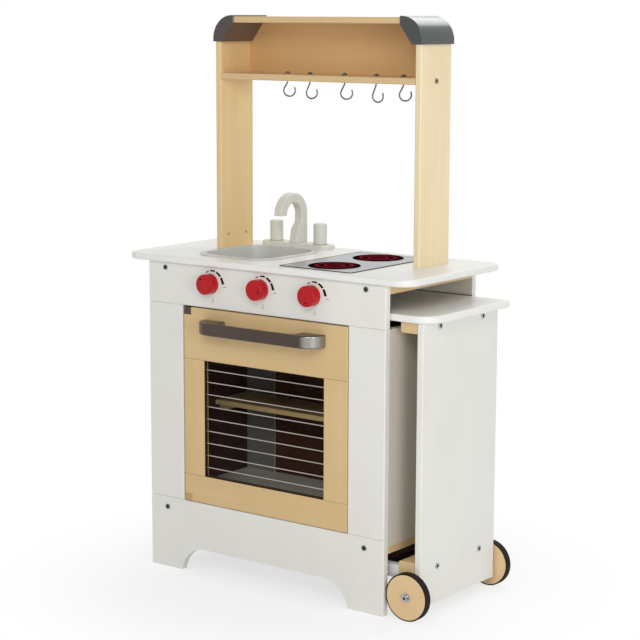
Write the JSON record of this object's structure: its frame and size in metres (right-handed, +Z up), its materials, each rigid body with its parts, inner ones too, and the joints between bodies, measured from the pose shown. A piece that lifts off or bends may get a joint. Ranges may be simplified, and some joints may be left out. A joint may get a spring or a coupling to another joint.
{
  "type": "play kitchen",
  "caption": "Free-standing wooden play kitchen with an oven door, sink, hob, overhead shelf with hooks, and a wheeled serving table that pulls out to the side.",
  "frame": {"origin": "middle of the bounding box on the floor", "axes": "+X to the right seen from the front, +Y from the front to the back, +Z up"},
  "size_m": [0.6384, 0.305, 0.9722],
  "materials": {
    "white_board": "smooth white lacquer",
    "birch": "clear satin lacquer",
    "brown_board": "smooth satin",
    "grey_moulding": "metallic satin",
    "handle_metal": "metallic satin",
    "red_knob": "gloss",
    "tap_plastic": "satin",
    "sink_plastic": "satin",
    "hob_metal": "satin",
    "burner": "printed rings, satin",
    "tinted_pane": "clear dark tint",
    "steel": "bright",
    "rubber_tyre": "smooth rubber",
    "catch_plastic": "satin"
  },
  "bodies": {
    "cabinet": {"worktop": "white_board", "control_panel": "white_board", "front_stiles": "white_board", "front_plinth": "white_board", "back_plinth": "white_board", "back_top_board": "white_board", "back_stiles": "white_board", "left_wall": "white_board", "right_wall": "white_board", "oven_ceiling": "white_board", "oven_floor": "white_board", "table_guides": "white_board", "oven_shelf": "birch", "shelf_cleats": "birch", "floor_bearers": "birch", "post_rails": "birch", "left_post": "birch", "right_post": "birch", "overhead_shelf": "birch", "overhead_back_panel": "birch", "top_board": "birch", "back_panel": "brown_board", "left_corner_cap": "grey_moulding", "right_corner_cap": "grey_moulding", "faucet_base": "tap_plastic", "sink_basin": "sink_plastic", "hob_plate": "hob_metal", "hob_burners": "burner", "cabinet_screws": "steel", "hook_1": "steel", "hook_2": "steel", "hook_3": "steel", "hook_4": "steel", "hook_5": "steel", "door_catch": "catch_plastic"},
    "door": {"door_top_rail": "birch", "door_bottom_rail": "birch", "door_left_stile": "birch", "door_right_stile": "birch", "window_pane": "tinted_pane", "window_bars": "steel", "door_handle": "handle_metal", "handle_screws": "steel", "door_fittings": "steel"},
    "left knob": {"knob_left": "red_knob"},
    "middle knob": {"knob_middle": "red_knob"},
    "right knob": {"knob_right": "red_knob"},
    "spout": {"faucet_spout": "tap_plastic"},
    "left tap": {"faucet_tap_left": "tap_plastic"},
    "right tap": {"faucet_tap_right": "tap_plastic"},
    "serving table": {"table_top": "white_board", "table_end_panel": "white_board", "table_batten": "birch", "axle_block": "birch", "table_runners": "white_board", "table_fasteners": "steel"},
    "front wheel": {"front_wheel_disc": "birch", "front_wheel_tyre": "rubber_tyre"},
    "rear wheel": {"rear_wheel_disc": "birch", "rear_wheel_tyre": "rubber_tyre"}
  },
  "joints": [
    {"name": "door_swing", "type": "hinge", "parent": "cabinet", "child": "door", "pos_m": [-0.18525, -0.1115, 0.302], "axis": [0, 0, -1], "range_deg": [0, 90]},
    {"name": "left_knob_turn", "type": "hinge", "parent": "cabinet", "child": "left knob", "pos_m": [-0.12825, -0.1175, 0.519], "axis": [0, -1, 0], "continuous": true},
    {"name": "middle_knob_turn", "type": "hinge", "parent": "cabinet", "child": "middle knob", "pos_m": [-0.01925, -0.1175, 0.519], "axis": [0, -1, 0], "continuous": true},
    {"name": "right_knob_turn", "type": "hinge", "parent": "cabinet", "child": "right knob", "pos_m": [0.08975, -0.1175, 0.519], "axis": [0, -1, 0], "continuous": true},
    {"name": "spout_swivel", "type": "hinge", "parent": "cabinet", "child": "spout", "pos_m": [-0.12325, 0.121, 0.5688], "axis": [0, 0, 1], "range_deg": [-90, 90]},
    {"name": "left_tap_turn", "type": "hinge", "parent": "cabinet", "child": "left tap", "pos_m": [-0.17265, 0.121, 0.5688], "axis": [0, 0, 1], "range_deg": [-90, 90]},
    {"name": "right_tap_turn", "type": "hinge", "parent": "cabinet", "child": "right tap", "pos_m": [-0.07385, 0.121, 0.5688], "axis": [0, 0, 1], "range_deg": [-90, 90]},
    {"name": "table_slide", "type": "slide", "parent": "cabinet", "child": "serving table", "axis": [1, 0, 0], "range_m": [0, 0.3]},
    {"name": "front_wheel_roll", "type": "hinge", "parent": "serving table", "child": "front wheel", "pos_m": [0.27925, -0.107, 0.04], "axis": [0, 1, 0], "continuous": true},
    {"name": "rear_wheel_roll", "type": "hinge", "parent": "serving table", "child": "rear wheel", "pos_m": [0.27925, 0.141, 0.04], "axis": [0, 1, 0], "continuous": true}
  ]
}
